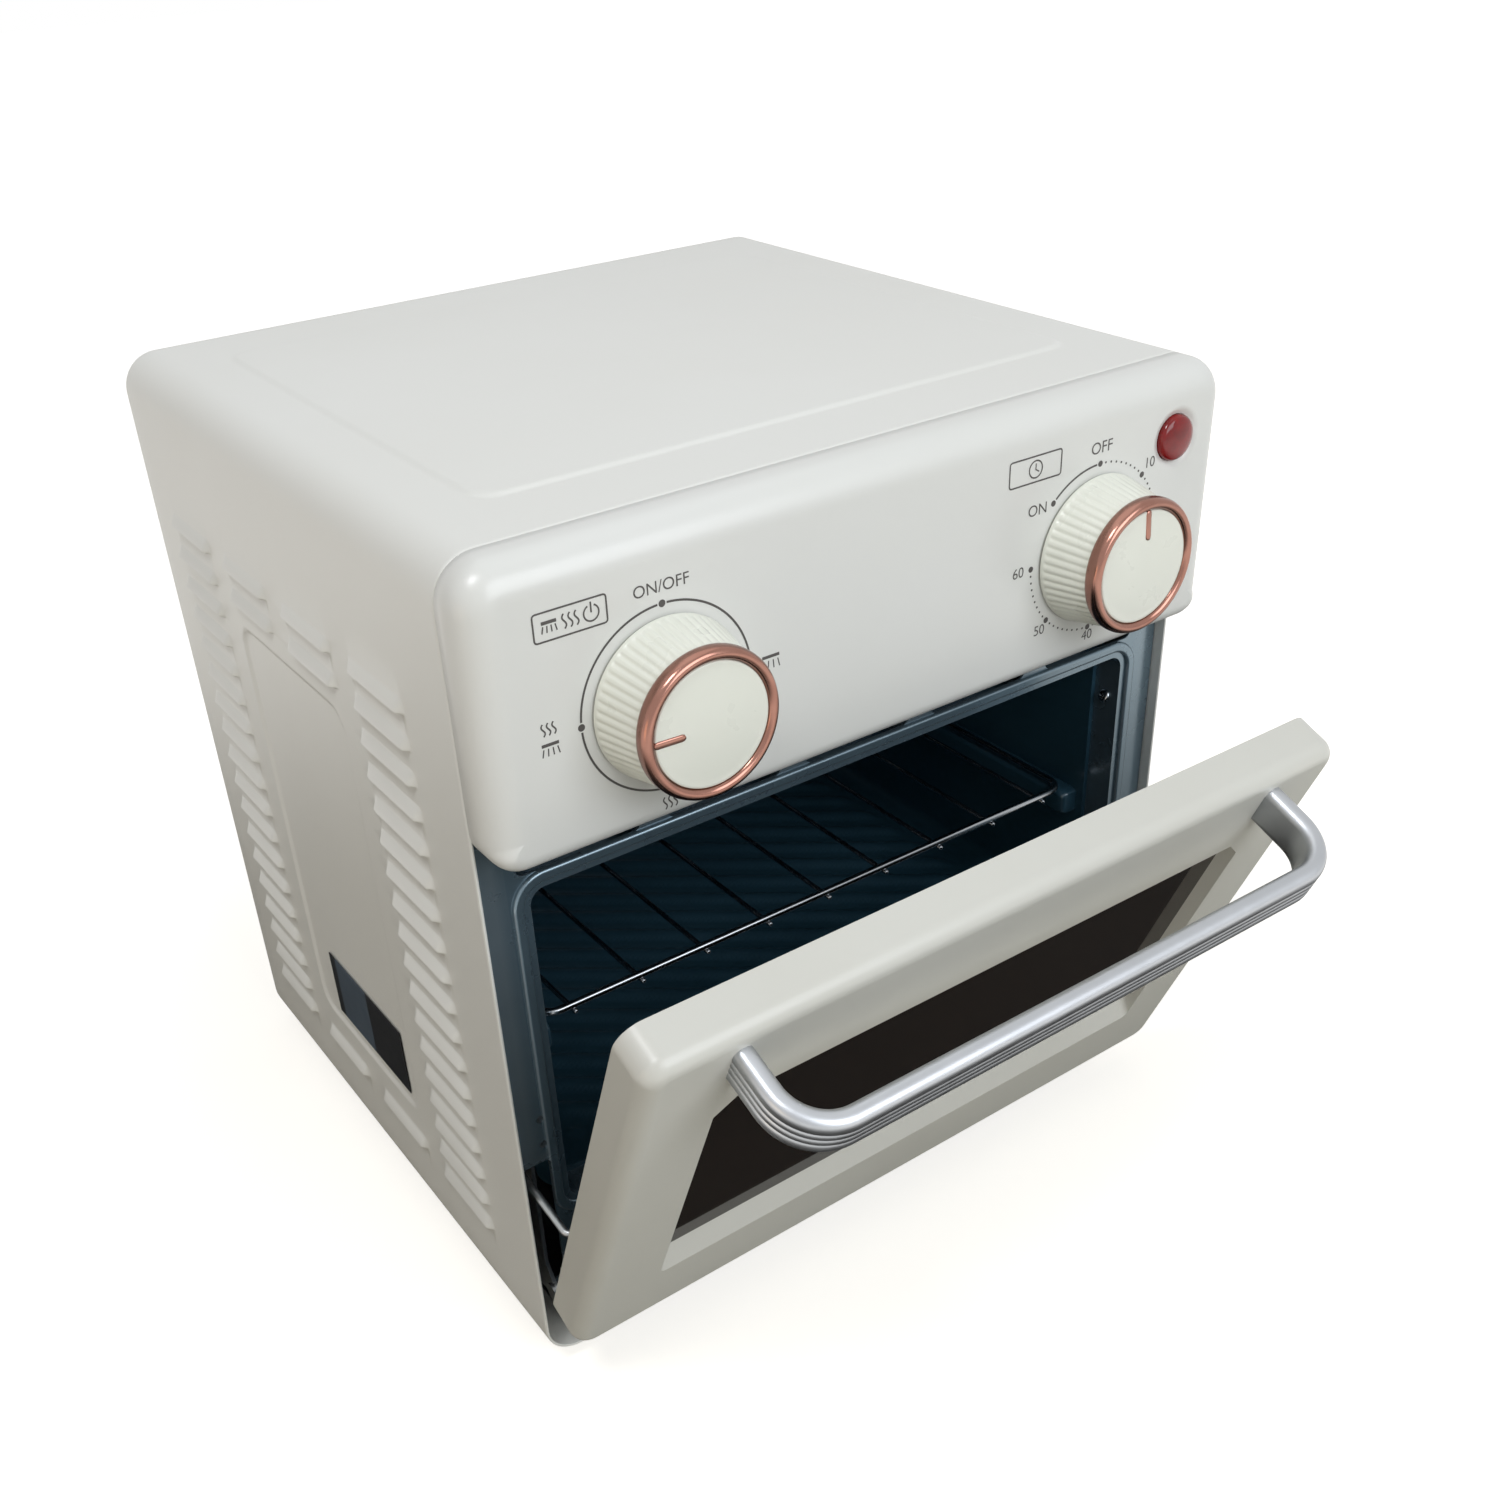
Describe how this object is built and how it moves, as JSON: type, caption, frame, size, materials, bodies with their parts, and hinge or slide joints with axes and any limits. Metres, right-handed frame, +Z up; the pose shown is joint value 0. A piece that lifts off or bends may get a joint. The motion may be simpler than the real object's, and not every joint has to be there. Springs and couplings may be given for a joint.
{
  "type": "dish sterilizer cabinet",
  "caption": "Countertop steriliser cabinet with a drop-down glass door, bar handle, two dials, wire rack, louvred sides and a heated, fan-swept cavity.",
  "frame": {"origin": "on the ground plane, under the middle of the outer shell and midway between the four feet", "axes": "+X to the right seen from the front, +Y from the door to the back, +Z up"},
  "size_m": [0.3248, 0.4232, 0.3429],
  "materials": {
    "painted_steel": "satin cream-white powder coat",
    "frame_paint": "satin blue-grey coating",
    "liner_paint": "gloss dark blue-black coating",
    "zinc_steel": "zinc-plated",
    "chrome_wire": "bright chrome wire",
    "cream_plastic": "soft gloss moulding",
    "knob_plastic": "soft gloss cream",
    "copper_trim": "polished rose copper plating",
    "red_lens": "polished red",
    "dark_glass": "tempered, dark tint",
    "satin_aluminium": "satin anodised",
    "black_plastic": "black moulding",
    "grey_rubber": "soft rubber",
    "light_rubber": "grey silicone",
    "white_ceramic": "unglazed white",
    "tube_glass": "clear quartz",
    "bright_reflector": "bright rolled",
    "plate_print": "blank two-tone plate",
    "motor_steel": "laminated steel"
  },
  "bodies": {
    "cabinet": {"outer_shell": "painted_steel", "base_pan": "zinc_steel", "feet": "grey_rubber", "rear_cover": "painted_steel", "rear_cover_screws": "zinc_steel", "cord_gland": "black_plastic", "front_frame": "frame_paint", "cavity_liner": "liner_paint", "cavity_back": "liner_paint", "liner_screws": "chrome_wire", "rack_rail_left": "liner_paint", "rack_rail_right": "liner_paint", "control_panel": "cream_plastic", "panel_screws": "zinc_steel", "control_bracket": "zinc_steel", "bracket_screws": "zinc_steel", "function_switch": "black_plastic", "timer_body": "black_plastic", "bush_nuts": "zinc_steel", "pilot_lens": "red_lens", "pilot_lamp": "black_plastic", "side_plate": "plate_print", "hinge_bracket_left": "zinc_steel", "hinge_bracket_right": "zinc_steel", "hinge_screws": "zinc_steel", "hinge_pins": "zinc_steel", "guide_rollers": "white_ceramic", "reed_switch": "black_plastic", "uv_lamp": "tube_glass", "uv_holders": "white_ceramic", "uv_reflector": "bright_reflector", "lamp_ballast": "motor_steel", "fan_housing": "zinc_steel", "fan_motor": "motor_steel", "heater": "white_ceramic", "thermal_cutout": "black_plastic", "terminal_block": "white_ceramic"},
    "door": {"door_frame": "cream_plastic", "door_glass": "dark_glass", "glass_gasket": "light_rubber", "door_inner_frame": "frame_paint", "door_screws": "zinc_steel", "door_magnet": "motor_steel", "handle": "satin_aluminium", "handle_screws": "zinc_steel"},
    "stay_left": {"stay_left": "zinc_steel"},
    "stay_right": {"stay_right": "zinc_steel"},
    "rack": {"wire_rack": "chrome_wire"},
    "function_knob": {"function_knob": "knob_plastic", "function_knob_ring": "copper_trim", "function_knob_cap": "knob_plastic", "function_knob_pointer": "copper_trim", "function_shaft": "zinc_steel"},
    "timer_knob": {"timer_knob": "knob_plastic", "timer_knob_ring": "copper_trim", "timer_knob_cap": "knob_plastic", "timer_knob_pointer": "copper_trim", "timer_shaft": "zinc_steel"},
    "fan_rotor": {"fan_rotor": "bright_reflector"}
  },
  "joints": [
    {"name": "door_hinge", "type": "hinge", "parent": "cabinet", "child": "door", "pos_m": [0, -0.1375, 0.036], "axis": [1, 0, 0], "range_deg": [-22.45, 55.55]},
    {"name": "stay_left_turn", "type": "hinge", "parent": "door", "child": "stay_left", "pos_m": [-0.155, -0.16233, 0.0885], "axis": [1, 0, 0], "range_deg": [-29.39, 12.17]},
    {"name": "stay_right_turn", "type": "hinge", "parent": "door", "child": "stay_right", "pos_m": [0.155, -0.16233, 0.0885], "axis": [1, 0, 0], "range_deg": [-29.39, 12.17]},
    {"name": "rack_slide", "type": "slide", "parent": "cabinet", "child": "rack", "axis": [0, 1, 0], "range_m": [-0.004, 0.012]},
    {"name": "function_turn", "type": "hinge", "parent": "cabinet", "child": "function_knob", "pos_m": [-0.0937, -0.142, 0.284], "axis": [0, 1, 0], "range_deg": [0, 270]},
    {"name": "timer_turn", "type": "hinge", "parent": "cabinet", "child": "timer_knob", "pos_m": [0.0937, -0.142, 0.284], "axis": [0, 1, 0], "range_deg": [-45, 270]},
    {"name": "fan_spin", "type": "hinge", "parent": "cabinet", "child": "fan_rotor", "pos_m": [0, 0.098, 0.148], "axis": [0, 1, 0], "continuous": true}
  ],
  "couplings": [
    {"joint": "stay_left_turn", "follows": "door_hinge", "ratio": -0.52},
    {"joint": "stay_right_turn", "follows": "door_hinge", "ratio": -0.52}
  ]
}
